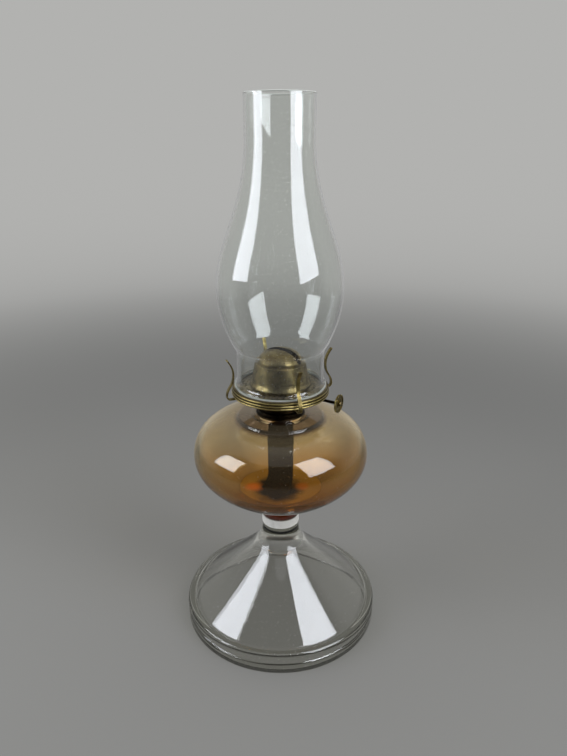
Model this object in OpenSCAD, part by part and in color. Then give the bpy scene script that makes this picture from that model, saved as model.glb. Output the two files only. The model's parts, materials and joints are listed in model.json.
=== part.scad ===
// Table oil lamp: pressed glass foot and font, brass screw burner with a flat wick, glass chimney.
// Stands on z = 0 with its axis on Z. The front is at -Y.

/* [Foot and stem] */
// Radius of the foot where it stands
foot_r = 87; // [78:0.5:100]
// Height of the plain band round the edge of the foot
foot_band_h = 9.5; // [7:0.5:12]
// Height of the whole rounded rim, where the cone starts
foot_rim_h = 19; // [16:0.5:23]
// How far the cone starts inside the edge
foot_rim_w = 7; // [5.5:0.5:10]
// Width of the ring that the foot stands on
foot_ring_w = 9; // [8:0.5:12]
// Slope of the cone above the level
foot_slope = 43; // [40:0.5:45]
// Thickness of the glass in the cone
foot_wall = 6; // [5:0.5:8]
// Radius of the round top of the hollow under the foot
hollow_top_r = 20; // [16:1:30]
// Radius of the stem at its waist
stem_r = 16; // [14:0.5:19]
// Radius of the sweep from the cone into the stem
stem_sweep_r = 30; // [24:1:34]
// Length of the straight stem above the sweep
stem_len = 16; // [10:0.5:24]

/* [Font] */
// Largest radius of the font
font_r = 74.4; // [66:0.2:82]
// Height of the widest ring above the stem
font_belly_h = 56; // [50:0.5:62]
// Height of the shoulder above the widest ring
font_shoulder_h = 32.5; // [28:0.5:38]
// Thickness of the glass in the font
font_wall = 4.5; // [3:0.25:6]
// Radius of the raised button on top of the font
button_r = 36; // [33:0.5:40]
// Height of the button's edge
button_h = 2.6; // [1.5:0.1:4]
// Rise of the button from its edge to the collar
button_rise = 1.4; // [0.8:0.1:2.5]
// Bore of the glass neck
neck_bore_r = 14.5; // [14.3:0.1:15]
// Thickness of the glass neck
neck_wall = 2.6; // [2:0.1:3.2]
// Height of the glass neck above the button
neck_h = 3.8; // [3:0.1:5]

/* [Collar and thread] */
// Thickness of the plaster between neck and collar
cement_t = 0.8; // [0.5:0.1:1.2]
// Thickness of the collar's skirt
collar_t = 0.9; // [0.6:0.1:1.4]
// How far the collar's foot flange stands out
collar_flange_w = 1.8; // [1:0.1:2.6]
// Bore of the collar's thread
thread_r = 16; // [15.6:0.1:16.4]
// Length of thread in use
thread_len = 4.5; // [3.5:0.1:6]
// Wall of the burner's threaded ring
ring_wall = 0.9; // [0.7:0.05:1]

/* [Burner] */
// Height of the air basket, from the collar to the deck
basket_h = 17; // [16.5:0.1:21]
// Radius of the basket at its floor
basket_foot_r = 19.4; // [18.8:0.1:21]
// Radius of the basket under the deck
basket_top_r = 23.2; // [22.4:0.1:24.5]
// Thickness of the burner's sheet brass
sheet_t = 0.7; // [0.5:0.05:0.9]
// Air holes in each row of the basket
basket_holes = 20; // [12:1:24]
// Radius of an air hole in the basket
basket_hole_r = 1.5; // [1:0.1:1.8]
// Outer radius of the gallery's beaded rim
gallery_r = 40.5; // [40.3:0.1:44]
// Depth of the gallery's rim, from seat to flange
gallery_h = 6; // [4.6:0.1:6.5]
// Rise of the deck from the seat to its inner edge
deck_rise = 2.2; // [1.5:0.1:2.7]
// Radius of a bead on the rim
bead_r = 0.95; // [0.6:0.05:1.05]
// Holes in each ring of the deck
deck_holes = 40; // [24:1:48]
// Radius of a hole in the deck
deck_hole_r = 0.9; // [0.6:0.05:1.1]
// Radius of the dome's skirt at its foot
skirt_r = 25.6; // [25.3:0.1:27]
// Radius of the ledge between skirt and dome
ledge_r = 20.6; // [20:0.1:22]
// Height of the skirt from the deck to the ledge
skirt_h = 19; // [17:0.25:22]
// Radius of the dome where it leaves the ledge
dome_r = 17.7; // [17.4:0.1:18.6]
// Height of the dome above the ledge
dome_h = 11.2; // [9:0.2:13]
// Length of the slot in the dome
slot_len = 37; // [33:0.5:38]
// Width of the slot in the dome
slot_w = 5.6; // [5:0.1:7]

/* [Prongs] */
// Width of a prong
prong_w = 3; // [2.8:0.1:4.5]
// Thickness of a prong
prong_t = 1.1; // [0.8:0.1:1.4]
// How far a prong's elbow stands out from the rim
prong_reach = 5.6; // [4.5:0.1:7]
// Height of a prong from its elbow to its tip
prong_h = 34.5; // [30:0.5:38]
// Free space between a prong and the chimney's base as it lifts out
prong_gap = 1.6; // [0.6:0.1:2.2]
// Azimuth of the first prong
prong_az = -70; // [-75:1:-60]
// Radius of a prong's rivet
rivet_r = 0.9; // [0.7:0.05:1.1]

/* [Wick and raiser] */
// Width of the wick
wick_w = 25.4; // [24:0.1:25.8]
// Thickness of the wick
wick_t = 3; // [2.4:0.1:3.2]
// How far the wick stands above the dome at rest
wick_show = 0; // [0:0.1:4]
// Drop of the wick's corners below its crown
wick_crown = 3.2; // [1:0.1:5]
// Radius of the bend at the wick's tail
wick_bend_r = 12; // [8:0.5:13]
// Height of the wick's lowest point above the table
wick_foot_z = 127; // [125:0.5:135]
// Azimuth of the wick's width and of the raiser shaft
wick_az = -30; // [-40:1:-20]
// Space round the wick in its tube
wick_gap = 0.6; // [0.4:0.05:0.7]
// Wall of the wick tube
tube_wall = 0.5; // [0.4:0.05:0.6]
// How far the wick tube ends below the top of the dome
tube_drop = 5; // [4:0.25:8]
// Radius of a spur wheel over its teeth
spur_r = 4.5; // [4:0.1:4.7]
// Thickness of a spur wheel
spur_t = 0.9; // [0.6:0.1:1.4]
// Teeth of a spur wheel
spur_teeth = 12; // [10:1:16]
// Distance between spur wheels
spur_pitch = 7.5; // [6:0.25:8.5]
// Radius of the raiser shaft
shaft_r = 1.2; // [1:0.05:1.35]
// Distance from the lamp's axis to the thumb wheel
knob_reach = 51; // [47.5:0.5:56]
// Radius of the thumb wheel
knob_r = 7.5; // [6:0.1:9]
// Thickness of the thumb wheel's disc
knob_t = 1.5; // [1:0.1:2]
// Notches round the thumb wheel
knob_notches = 40; // [24:1:48]

/* [Chimney] */
// Height of the chimney
chimney_h = 222; // [200:1:250]
// Outer radius of the chimney's base
chimney_base_r = 38.1; // [37.6:0.1:38.4]
// Outer radius of the neck above the base
chimney_neck_r = 35.6; // [34:0.1:36.4]
// Largest radius of the bulge
chimney_bulge_r = 50.3; // [46:0.1:56]
// Outer radius of the tube at the top
chimney_top_r = 26.2; // [24:0.1:30]
// Height of the crimp where the bulge starts
crimp_h = 31; // [27:0.5:36]
// Height of the widest ring of the bulge
bulge_h = 82; // [74:1:90]
// Height at which the bulge has run into the tube
tube_start_h = 187; // [175:1:195]
// Thickness of the chimney's glass
chimney_wall = 2; // [1.4:0.1:2.6]

/* [Clearances] */
// Gap between fixed pieces that sit against each other
fit_gap = 0.04; // [0.02:0.01:0.06]
// Running clearance round a turning shaft
run_gap = 0.05; // [0.03:0.01:0.08]
// Clearance between a seated piece and its seat
seat_gap = 0.2; // [0.1:0.05:0.3]
// Clearance between the teeth of the spur wheels and the wick
tooth_gap = 0.15; // [0.1:0.05:0.3]

/* [Hidden] */
$fn = 96;
glass = [0.85, 0.88, 0.86, 0.45];
amber_glass = [0.72, 0.56, 0.30, 0.6];
old_brass = [0.62, 0.50, 0.25];
dark_brass = [0.22, 0.18, 0.12];

// Height of the foot: the cone's own line gives where the sweep ends and the stem starts
cone_r = foot_r - foot_rim_w;
sweep_r = stem_r + stem_sweep_r * (1 - sin(foot_slope));
sweep_z = foot_rim_h + (cone_r - sweep_r) * tan(foot_slope);
stem_z = sweep_z + stem_sweep_r * cos(foot_slope);
stem_top = stem_z + stem_len;

// Heights of the font
belly_z = stem_top + font_belly_h;
shoulder_z = belly_z + font_shoulder_h;
shoulder_r = button_r + 4;
button_z = shoulder_z + button_h + button_rise;
neck_r = neck_bore_r + neck_wall;
neck_top = button_z + neck_h;

// Heights and radii of the collar and the burner's ring
collar_in_r = neck_r + cement_t;
collar_r = collar_in_r + collar_t;
collar_flange_r = collar_r + collar_flange_w;
collar_step = neck_top + 0.6;
collar_top = collar_step + thread_len;
basket_z = collar_top + seat_gap;
ring_r = thread_r - 2 * run_gap;

// Heights of the burner
deck_in_r = basket_top_r - 1.6;
seat_in_r = chimney_base_r - 3.6;
deck_slope = atan(deck_rise / (seat_in_r - deck_in_r));
deck_half = sheet_t / 2 / cos(deck_slope);
deck_over_wall = deck_half + (basket_top_r + sheet_t / 2 - deck_in_r) * tan(deck_slope);
deck_in_z = basket_z + basket_h + fit_gap + deck_over_wall;
seat_z = deck_in_z - deck_rise;
seat_top = seat_z + sheet_t / 2;
flange_z = seat_z - gallery_h;
rim_r = gallery_r - bead_r;
flange_in_r = rim_r - 5.8;
function deck_z(r) = deck_in_z - (r - deck_in_r) * tan(deck_slope);
skirt_z = deck_z(skirt_r - sheet_t) + deck_half + fit_gap;
ledge_z = skirt_z + skirt_h;
dome_top = ledge_z + dome_h;

// Middle line of the basket's wall, and its radius at a height
basket_knee = [basket_foot_r, basket_z + 3];
function basket_wall() = curve([basket_foot_r - 0.8, basket_z + sheet_t / 2], basket_knee,
    [basket_top_r, basket_z + basket_h * 0.55], [basket_top_r, basket_z + basket_h], 12);
function basket_r(z) = lookup(z, [for (p = basket_wall()) [p[1], p[0]]]);

// Legs, elbows and waists of the prongs
leg_z = flange_z - sheet_t / 2 - fit_gap - prong_t / 2;
rivet_at = flange_in_r + 2.6;
elbow_r = gallery_r + prong_reach;
waist_r = chimney_base_r + prong_gap + prong_t / 2;

// The wick, its tube and the raiser, in a frame turned so that x runs along the wick's width
tube_in_t = wick_t + 2 * wick_gap;
tube_in_w = wick_w + 2 * wick_gap;
tube_t = tube_in_t + 2 * tube_wall;
tube_w = tube_in_w + 2 * tube_wall;
tube_corner = 1.3;
tube_foot = neck_top - 1.2;
tube_top = dome_top - tube_drop;
shaft_y = wick_t / 2 + tooth_gap + spur_r;
cover_r = spur_r + 0.6;
cover_wall = 0.5;
cover_half = spur_pitch + 3.4;
shaft_z = basket_z + sheet_t + 1 + cover_r + cover_wall;
shaft_in = cover_half + 0.8;
wick_top = dome_top + wick_show;
bush_r = shaft_r + run_gap + 0.9;
vent_r = 1.7;
vent_y = shaft_y + 1.5;
knob_in = knob_reach - knob_t / 2;
knob_out = knob_reach + knob_t / 2;
shaft_out = knob_out + 0.6;
bush_flange_r = bush_r + 0.8;
bush_wall_r = basket_r(shaft_z + bush_flange_r) + sheet_t / 2;
bush_x = fit_gap + sqrt(pow(bush_wall_r, 2) - pow(shaft_y - bush_flange_r, 2));

// Chimney
chimney_z = seat_top + seat_gap;

// Points of a cubic curve, of an arc, and of a path moved sideways
function curve(a, b, c, d, n) =
    [for (i = [0 : n]) let (t = i / n, u = 1 - t)
        u * u * u * a + 3 * u * u * t * b + 3 * u * t * t * c + t * t * t * d];
function arc(c, r, from, to, n) =
    [for (i = [0 : n]) let (a = from + (to - from) * i / n) c + r * [cos(a), sin(a)]];
function heading(p, i) =
    let (v = p[min(i + 1, len(p) - 1)] - p[max(i - 1, 0)]) v / norm(v);
function moved(p, d) =
    [for (i = [0 : len(p) - 1]) let (v = heading(p, i)) p[i] + d * [-v[1], v[0]]];
function reversed(p) = [for (i = [len(p) - 1 : -1 : 0]) p[i]];
function ribbon(p, t) = concat(moved(p, t / 2), reversed(moved(p, -t / 2)));

module revolve(points) rotate_extrude() polygon(points);
module bead(r, z, bead_r) rotate_extrude() translate([r, z]) circle(r = bead_r, $fn = 24);
module ring(r_out, r_in, z, h)
    translate([0, 0, z]) difference() {
        cylinder(r = r_out, h = h);
        translate([0, 0, -1]) cylinder(r = r_in, h = h + 2);
    }
module stadium(l, w) {
    square([l - w, w], center = true);
    for (s = [-1, 1]) translate([s * (l - w) / 2, 0]) circle(d = w);
}
module rounded(l, w, r) {
    square([l - 2 * r, w], center = true);
    square([l, w - 2 * r], center = true);
    for (x = [-1, 1], y = [-1, 1]) translate([x * (l / 2 - r), y * (w / 2 - r)]) circle(r = r);
}
// A rod along x, at the raiser shaft's place
module shaft_rod(r, from, to)
    translate([from, shaft_y, shaft_z]) rotate([0, 90, 0]) cylinder(r = r, h = to - from);

// Glass foot: band, bead and cone swept into the stem, with a round-topped hollow under it
module glass_foot() color(glass) {
    band_edge = 1.2;
    groove = 1.1;
    bead_z = (foot_band_h + foot_rim_h) / 2;
    cone_k = cone_r * sin(foot_slope) + foot_rim_h * cos(foot_slope);
    in_k = cone_k - foot_wall;
    in_r = foot_r - foot_ring_w;
    in_z = (in_k - in_r * sin(foot_slope)) / cos(foot_slope);
    top_z = (in_k - hollow_top_r) / cos(foot_slope);
    outer = concat(
        [[foot_r - band_edge, 0], [foot_r, band_edge], [foot_r, foot_band_h - groove],
         [foot_r - groove, foot_band_h]],
        curve([foot_r - groove, foot_band_h], [foot_r + 1.6, bead_z], [foot_r - 0.5, foot_rim_h + 1],
              [cone_r + 2, foot_rim_h], 10),
        [[cone_r, foot_rim_h + 0.6]],
        arc([stem_r + stem_sweep_r, stem_z], stem_sweep_r, 270 - foot_slope, 180, 14),
        [[stem_r, stem_top], [0, stem_top]]);
    inner = concat(
        reversed(arc([0, top_z], hollow_top_r, 90 - foot_slope, 90, 12)),
        [[in_r, in_z], [in_r, 0]]);
    revolve(concat(outer, inner));
}

// Outer outline of the font, from the stem joint up to the shoulder
function font_outline() = concat(
    curve([stem_r + 2, stem_top + 1], [stem_r + 26, stem_top + font_belly_h * 0.34],
          [font_r, belly_z - font_belly_h * 0.43], [font_r, belly_z], 14),
    curve([font_r, belly_z], [font_r, belly_z + font_shoulder_h * 0.62],
          [shoulder_r + 18, shoulder_z - 0.5], [shoulder_r, shoulder_z], 12));

// Glass font: squat bowl, raised button and the neck that the collar is cemented on
module glass_font() color(amber_glass) {
    edge = 1.2;
    button_step = 0.9;
    step_r = collar_flange_r + 3.4;
    bowl = font_outline();
    inside = moved(bowl, font_wall);
    outer = concat([[0, stem_top], [stem_r, stem_top]], bowl,
        [[button_r + 0.6, shoulder_z]],
        arc([button_r - edge, shoulder_z + button_h - edge], edge, 0, 90, 5),
        [[step_r + 0.9, button_z - button_step], [step_r + 0.3, button_z - 0.25], [step_r - 0.5, button_z],
         [neck_r, button_z], [neck_r, neck_top], [neck_bore_r, neck_top]]);
    inner = concat([[neck_bore_r, shoulder_z - font_wall + 2.5],
                    [neck_bore_r + 3, shoulder_z - font_wall]],
        reversed(inside), [[0, inside[0][1]]]);
    revolve(concat(outer, inner));
}

// Plaster between the neck and the collar
module collar_cement() color("gainsboro")
    ring(collar_in_r - fit_gap, neck_r + fit_gap, button_z + fit_gap, neck_h - 2 * fit_gap);

// Screw collar: foot flange, skirt over the neck, threaded throat and a rolled top edge
module collar() color(dark_brass) {
    throat_r = thread_r + collar_t;
    flange_h = 1.5;
    roll = 0.7;
    revolve(concat(
        [[collar_in_r, button_z + fit_gap], [collar_flange_r - 0.5, button_z + fit_gap],
         [collar_flange_r, button_z + 0.6], [collar_flange_r - 0.4, button_z + flange_h],
         [collar_r, button_z + flange_h + 0.5], [collar_r, collar_step], [throat_r, collar_step + 1]],
        arc([throat_r, collar_top - roll], roll, -90, 90, 8),
        [[thread_r, collar_top], [thread_r, neck_top + fit_gap], [collar_in_r, neck_top + fit_gap]]));
}

// Threaded ring of the burner, at the plain size of its thread's crests
module screw_ring() color(old_brass)
    ring(ring_r, ring_r - ring_wall, collar_top - thread_len, basket_z - fit_gap - collar_top + thread_len);

// Air basket: floor that the tubes pass through, and a perforated flaring wall
module air_basket() color(dark_brass)
    difference() {
        union() {
            revolve(ribbon(basket_wall(), sheet_t));
            translate([0, 0, basket_z]) cylinder(r = basket_foot_r - 0.9, h = sheet_t);
        }
        rotate(wick_az) {
            translate([0, 0, basket_z - 1]) linear_extrude(sheet_t + 2)
                rounded(tube_w + 2 * fit_gap, tube_t + 2 * fit_gap, tube_corner + fit_gap);
            shaft_rod(bush_r + fit_gap, basket_foot_r - 6, basket_top_r + 4);
            vent_rod(vent_r + fit_gap, basket_z - 1, basket_z + sheet_t + 1);
        }
        for (row = [0, 1], i = [0 : basket_holes - 1])
            rotate(wick_az + (i + 0.5 + row / 2) * 360 / basket_holes)
                translate([basket_foot_r - 5, 0, basket_z + basket_h * (0.4 + 0.36 * row)])
                    rotate([0, 90, 0]) cylinder(r = basket_hole_r, h = 12, $fn = 24);
    }

// Gallery: perforated deck, flat seat for the chimney, beaded rim and the flange under it
module gallery() color(old_brass) {
    knee = 1.2;
    line = concat([[deck_in_r, deck_in_z], [seat_in_r, seat_z], [rim_r - knee, seat_z]],
        arc([rim_r - knee, seat_z - knee], knee, 72, 0, 4),
        arc([rim_r - knee, flange_z + knee], knee, 0, -90, 5),
        [[flange_in_r, flange_z]]);
    bead_rise = 0.3;
    bead_step = (gallery_h - 2 * bead_r + bead_rise) / 2;
    difference() {
        union() {
            revolve(ribbon(line, sheet_t));
            for (i = [0 : 2])
                bead(rim_r - (i == 0 ? 0.5 : 0), seat_z - bead_r + bead_rise - i * bead_step, bead_r);
        }
        for (row = [0, 1], i = [0 : deck_holes - 1])
            rotate((i + row / 2) * 360 / deck_holes)
                translate([skirt_r + (seat_in_r - skirt_r) * (0.3 + 0.42 * row), 0, seat_z - 1])
                    cylinder(r = deck_hole_r, h = deck_rise + 3, $fn = 20);
        each_prong() rivet_hole();
    }
}

// Flame dome: flared skirt with a bead, ledge, and a dome with the wick's slot
module flame_dome() color(old_brass) {
    r = skirt_r - sheet_t / 2;
    bead_at = skirt_h * 0.26;
    bead_at_r = ledge_r + 2.7;
    line = concat(
        [[r, skirt_z]],
        curve([r, skirt_z + 0.5], [r, skirt_z + 2.2], [bead_at_r + 0.5, skirt_z + 2.5],
              [bead_at_r, skirt_z + bead_at], 8),
        [[ledge_r, ledge_z - 0.8], [ledge_r - 0.3, ledge_z], [dome_r + 0.9, ledge_z + 0.3]],
        curve([dome_r, ledge_z + 0.7], [dome_r, ledge_z + dome_h * 0.6],
              [dome_r * 0.55, dome_top - sheet_t / 2], [0, dome_top - sheet_t / 2], 20));
    difference() {
        union() {
            revolve([for (p = ribbon(line, sheet_t)) [max(p[0], 0), p[1]]]);
            bead(bead_at_r, skirt_z + bead_at, 0.7);
            bead(ledge_r - 0.2, ledge_z - 0.3, 0.6);
        }
        rotate(wick_az) translate([0, 0, ledge_z + 1]) linear_extrude(dome_h + 2) stadium(slot_len, slot_w);
    }
}

// Prongs: legs under the flange, elbows outside the rim, a waist in towards the chimney, flared tips
function prong_line() = concat(
    [[flange_in_r + 0.4, leg_z], [elbow_r - 4.5, leg_z]],
    arc([elbow_r - 3, leg_z + 3], 3, -80, 0, 7),
    curve([elbow_r, leg_z + 3.6], [elbow_r - 0.4, leg_z + prong_h * 0.3],
          [waist_r, leg_z + prong_h * 0.34], [waist_r, leg_z + prong_h * 0.6], 10),
    curve([waist_r, leg_z + prong_h * 0.61], [waist_r, leg_z + prong_h * 0.76],
          [waist_r + 2, leg_z + prong_h * 0.86], [elbow_r - 0.4, leg_z + prong_h], 8));
module each_prong() for (i = [0 : 3]) rotate(prong_az + 90 * i) children();
module rivet_hole()
    translate([rivet_at, 0, leg_z - 3]) cylinder(r = rivet_r + fit_gap, h = 6, $fn = 24);
module prong(i) color(old_brass)
    rotate(prong_az + 90 * i) difference() {
        intersection() {
            rotate([90, 0, 0]) linear_extrude(prong_w, center = true) polygon(ribbon(prong_line(), prong_t));
            rotate([90, 0, 90]) linear_extrude(elbow_r + 10) {
                translate([-prong_w / 2, leg_z - 5]) square([prong_w, prong_h + 5 - prong_w / 2]);
                translate([0, leg_z + prong_h - prong_w / 2]) circle(d = prong_w + 0.4);
            }
        }
        rivet_hole();
    }
module prong_rivets() color(dark_brass) {
    head_r = rivet_r + 0.7;
    head_h = 0.7;
    low = leg_z - prong_t / 2 - fit_gap;
    high = flange_z + sheet_t / 2 + fit_gap;
    each_prong() translate([rivet_at, 0, 0])
        revolve(concat([[0, low - head_h], [head_r - 0.5, low - head_h], [head_r, low - 0.3], [head_r, low],
                        [rivet_r, low], [rivet_r, high], [head_r, high], [head_r - 0.4, high + head_h],
                        [0, high + head_h]]));
}

// Wick tube: flat oblong tube with windows for the spur wheels
module wick_tube() color(old_brass)
    rotate(wick_az) difference() {
        translate([0, 0, tube_foot]) linear_extrude(tube_top - tube_foot) difference() {
            rounded(tube_w, tube_t, tube_corner);
            rounded(tube_in_w, tube_in_t, tube_corner - tube_wall);
        }
        for (i = [-1 : 1])
            translate([i * spur_pitch - spur_t / 2 - 0.7, wick_t / 2 - 0.2, shaft_z - spur_r])
                cube([spur_t + 1.4, tube_wall + wick_gap + 1, 2 * spur_r]);
    }

// Half-round cover over the spur wheels, with the shaft's bearings in its ends
module spur_cover() color(old_brass)
    rotate(wick_az) difference() {
        shaft_rod(cover_r + cover_wall, -cover_half, cover_half);
        shaft_rod(cover_r, -cover_half + cover_wall, cover_half - cover_wall);
        shaft_rod(shaft_r + run_gap, -cover_half - 1, cover_half + 1);
        translate([-cover_half - 1, -cover_r * 2, shaft_z - cover_r * 2])
            cube([2 * cover_half + 2, cover_r * 2 + tube_t / 2 + fit_gap, cover_r * 4]);
    }

// Flanged bush where the shaft leaves the basket
module shaft_bush() color(old_brass)
    rotate(wick_az) difference() {
        union() {
            shaft_rod(bush_r, bush_x - 3, bush_x + 1.8);
            shaft_rod(bush_flange_r, bush_x, bush_x + 0.8);
        }
        shaft_rod(shaft_r + run_gap, bush_x - 4, bush_x + 3);
    }

// Vent tube beside the wick tube, from under the basket's floor up into the dome
module vent_rod(r, from, to)
    translate([0, -vent_y, from]) cylinder(r = r, h = to - from, $fn = 32);
module vent_tube() color(old_brass)
    rotate(wick_az) difference() {
        vent_rod(vent_r, tube_foot + 1, deck_in_z + 3);
        vent_rod(vent_r - tube_wall, tube_foot, deck_in_z + 4);
    }

// Wick raiser: shaft, spur wheels and thumb wheel
module raiser_shaft() color(dark_brass)
    rotate(wick_az) shaft_rod(shaft_r, -shaft_in, shaft_out);
module spur_wheel(i) color(old_brass) {
    root_r = spur_r * 0.74;
    rotate(wick_az) translate([i * spur_pitch - spur_t / 2, shaft_y, shaft_z]) rotate([0, 90, 0])
        linear_extrude(spur_t) difference() {
            polygon([for (k = [0 : 2 * spur_teeth - 1])
                let (r = k % 2 == 0 ? spur_r : root_r, a = 180 * k / spur_teeth) r * [cos(a), sin(a)]]);
            circle(r = shaft_r + fit_gap);
        }
}
module thumb_wheel() color(old_brass) {
    hub_r = shaft_r + 1.5;
    dish_in_r = shaft_r + 2.4;
    dish_out_r = knob_r - 1.3;
    dish_depth = 0.4;
    notch_r = 0.4;
    rotate(wick_az) difference() {
        union() {
            shaft_rod(knob_r, knob_in, knob_out);
            shaft_rod(hub_r, knob_in - 2, knob_out + dish_depth);
        }
        shaft_rod(shaft_r + fit_gap, knob_in - 3, knob_out + 2);
        difference() {
            shaft_rod(dish_out_r, knob_out - dish_depth, knob_out + 1);
            shaft_rod(dish_in_r, knob_out - 1, knob_out + 2);
        }
        for (k = [0 : knob_notches - 1])
            translate([knob_in - 1, shaft_y, shaft_z]) rotate([k * 360 / knob_notches, 0, 0])
                translate([0, 0, knob_r + notch_r / 4]) rotate([0, 90, 0])
                    cylinder(r = notch_r, h = knob_t + 2, $fn = 16);
    }
}
module thumb_wheel_rivet() color(dark_brass) {
    head_r = shaft_r + 0.8;
    rotate(wick_az) translate([shaft_out + fit_gap, shaft_y, shaft_z]) rotate([0, 90, 0])
        revolve([[0, 0], [head_r, 0], [head_r, 0.4], [head_r - 0.6, 0.9], [0, 1.1]]);
}

// Wick: flat cotton strip with a crowned top, its tail bent towards the front
module wick() color([0.16, 0.13, 0.10]) {
    bend_z = wick_foot_z + wick_t / 2 + wick_bend_r;
    line = concat([[0, wick_top]], arc([-wick_bend_r, bend_z], wick_bend_r, 0, -90, 14));
    half = wick_w / 2;
    crown_r = (half * half + wick_crown * wick_crown) / (2 * wick_crown);
    crown_a = asin(half / crown_r);
    rotate(wick_az) intersection() {
        rotate([90, 0, 90]) linear_extrude(wick_w, center = true) polygon(ribbon(line, wick_t));
        rotate([90, 0, 0]) linear_extrude(4 * wick_bend_r, center = true)
            polygon(concat([[-half, wick_foot_z - 1], [half, wick_foot_z - 1]],
                arc([0, wick_top - crown_r], crown_r, 90 - crown_a, 90 + crown_a, 12)));
    }
}

// Outer outline of the chimney, from its base up
function chimney_outline() = concat(
    [[chimney_base_r - 0.5, 0], [chimney_base_r, 0.8], [chimney_base_r, 2.2]],
    curve([chimney_base_r - 0.3, 2.7], [chimney_base_r - 1.4, 3.7], [chimney_neck_r, 4.2],
          [chimney_neck_r, 7], 6),
    curve([chimney_neck_r, crimp_h - 2], [chimney_neck_r + 0.1, crimp_h], [chimney_neck_r + 0.4, crimp_h],
          [chimney_neck_r + 1, crimp_h + 2], 4),
    curve([chimney_neck_r + 1.6, crimp_h + 2.9],
          [chimney_neck_r + (chimney_bulge_r - chimney_neck_r) * 0.36, crimp_h + 9],
          [chimney_bulge_r, bulge_h - (bulge_h - crimp_h) * 0.45], [chimney_bulge_r, bulge_h], 14),
    curve([chimney_bulge_r, bulge_h], [chimney_bulge_r, bulge_h + (tube_start_h - bulge_h) * 0.343],
          [chimney_top_r + 2.8, bulge_h + (tube_start_h - bulge_h) * 0.524],
          [chimney_top_r, tube_start_h], 18),
    [[chimney_top_r, chimney_h - 0.6], [chimney_top_r - 0.5, chimney_h]]);
module chimney() color(glass)
    translate([0, 0, chimney_z]) {
        line = chimney_outline();
        revolve(concat(line, reversed(moved(line, chimney_wall))));
    }

glass_foot();
glass_font();
collar_cement();
collar();
screw_ring();
air_basket();
gallery();
flame_dome();
prong(0);  // prong_1
prong(1);  // prong_2
prong(2);  // prong_3
prong(3);  // prong_4
prong_rivets();
wick_tube();
spur_cover();
shaft_bush();
vent_tube();
raiser_shaft();
spur_wheel(-1);  // spur_wheel_1
spur_wheel(0);  // spur_wheel_2
spur_wheel(1);  // spur_wheel_3
thumb_wheel();
thumb_wheel_rivet();
wick();
chimney();
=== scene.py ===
"""Looks of the table oil lamp: pressed glass foot and font, aged brass burner, cotton wick, chimney."""
import json
import math

import bmesh
import bpy
from mathutils import Matrix, Vector


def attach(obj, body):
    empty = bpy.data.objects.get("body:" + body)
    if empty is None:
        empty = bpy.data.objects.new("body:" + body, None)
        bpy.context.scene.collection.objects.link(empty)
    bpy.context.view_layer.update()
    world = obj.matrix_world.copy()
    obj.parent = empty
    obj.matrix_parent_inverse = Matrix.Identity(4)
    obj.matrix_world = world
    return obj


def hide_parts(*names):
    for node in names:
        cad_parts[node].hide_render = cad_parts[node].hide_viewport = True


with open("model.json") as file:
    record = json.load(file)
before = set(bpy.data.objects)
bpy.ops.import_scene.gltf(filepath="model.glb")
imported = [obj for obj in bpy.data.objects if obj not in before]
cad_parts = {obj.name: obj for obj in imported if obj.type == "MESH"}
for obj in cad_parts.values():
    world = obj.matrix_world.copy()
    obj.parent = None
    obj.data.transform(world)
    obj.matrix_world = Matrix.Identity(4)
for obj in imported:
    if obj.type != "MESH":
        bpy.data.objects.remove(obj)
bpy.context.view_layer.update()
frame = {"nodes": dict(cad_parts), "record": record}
scene = bpy.context.scene

# Sizes in millimetres, as in the part's source
MM = 0.001
FOOT_R = 87.0
FOOT_BAND = 9.5
FOOT_RIM = 19.0
CONE_R = 80.0
FOOT_SLOPE = 43.0
FOOT_WALL = 6.0
FOOT_RING_IN = 78.0
HOLLOW_TOP_R = 20.0
STEM_R = 16.0
SWEEP_R = 30.0
STEM_Z = 91.73
STEM_TOP = 107.73
FONT_R = 74.4
BELLY_H = 56.0
BELLY_Z = 163.73
SHOULDER_H = 32.5
SHOULDER_Z = 196.23
SHOULDER_R = 40.0
FONT_WALL = 4.5
BUTTON_R = 36.0
BUTTON_EDGE = 198.83
BUTTON_Z = 200.23
COLLAR_FLANGE_R = 20.6
NECK_R = 17.1
NECK_BORE = 14.5
NECK_TOP = 204.03
CHIMNEY_Z = 225.40
CHIMNEY_H = 222.0
CHIMNEY_BASE_R = 38.1
CHIMNEY_NECK_R = 35.6
CHIMNEY_BULGE_R = 50.3
CHIMNEY_TOP_R = 26.2
CRIMP_H = 31.0
BULGE_H = 82.0
TUBE_START = 187.0
CHIMNEY_WALL = 2.0
GROUND_H = 0.8
LIP_H = 0.7
WICK_W = 25.4
WICK_T = 3.0
WICK_TOP = 257.09
WICK_CROWN = 3.2
WICK_BEND = 12.0
WICK_BEND_Z = 140.5
WICK_AZ = math.radians(-30)

# The plunger's mark reaches this far out and up in the hollow
PLUNGER_R = 16.5
PLUNGER_Z = 80.0

# The wick's weave: the spacing of its ribs and picks and the yarns' relief
WICK_RIB = 1.4
WICK_PICK = 1.8
WICK_RELIEF = 0.22

# Oil: the dregs' level and the reach of their dark middle and rim; the film's heights
OIL_LEVEL = 128.0
POOL_DARK = 26.0
POOL_RIM = 44.0
FILM_FOOT = 1.4
AMBER_TOP = 188.0
AMBER_FULL = 144.0
BROWN_TOP = 150.0
BROWN_FULL = 114.0
HAZE_TOP = 198.0
HAZE_FULL = 184.0
CROWN_Z = 185.0
SUMP_TOP = 108.5
SUMP_FULL = 106.5
PLUG_R = 14.8
PLUG_Z = 101.6

# The gallery's rim, for the painted light and shade on its beads
RIM_INSIDE = 39.2
RIM_BEAD_Z = 224.2
RIM_BEAD_STEP = 2.2

# Paper band
BAND_LOW = 94.2
BAND_HIGH = 101.8
BAND_PAPER = 0.16


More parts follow.
